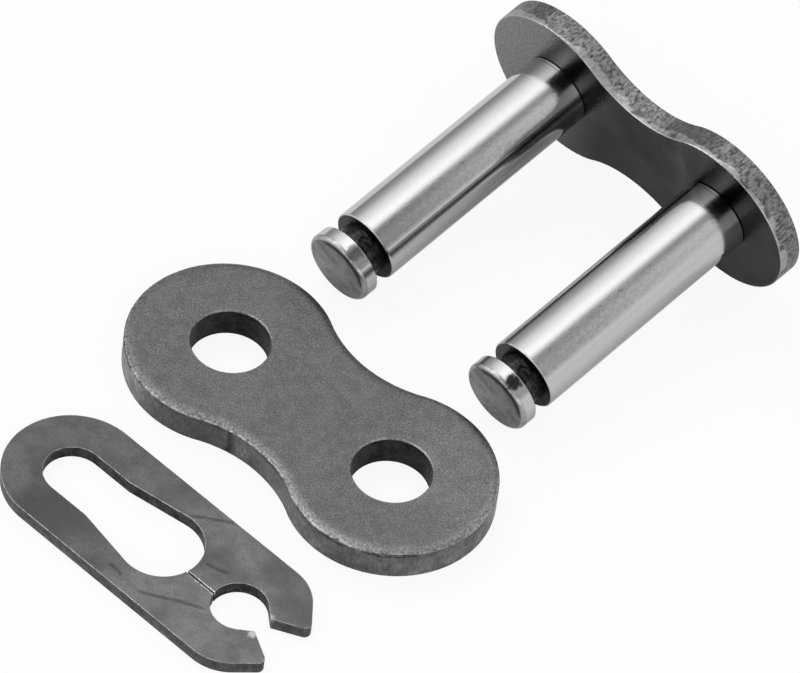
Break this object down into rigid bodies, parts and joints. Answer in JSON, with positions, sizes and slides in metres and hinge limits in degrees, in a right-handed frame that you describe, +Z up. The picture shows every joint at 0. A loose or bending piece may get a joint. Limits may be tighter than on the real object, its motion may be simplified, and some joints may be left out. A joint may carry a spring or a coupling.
{
  "type": "roller chain connecting link",
  "caption": "Chain connecting link laid out as loose pieces: a side plate with fixed grooved pins, a cover plate with pin holes and a flat spring clip.",
  "frame": {"origin": "centre of the whole layout on the table top", "axes": "+X along the pitch from the left pin to the right pin, +Y from the spring clip past the cover plate to the pin link, +Z up from the table"},
  "size_m": [0.0248, 0.045, 0.0104],
  "materials": {
    "pin_plate_steel": "smooth satin grey flat faces, sheared edge wall",
    "pin_steel": "ground bright steel",
    "cover_plate_steel": "fine shot-blasted matte grey",
    "clip_steel": "heat treated and oiled dark grey sheet"
  },
  "bodies": {
    "root": {"pin_link_plate": "pin_plate_steel", "left_pin": "pin_steel", "right_pin": "pin_steel", "cover_plate": "cover_plate_steel", "spring_clip": "clip_steel"}
  },
  "joints": []
}
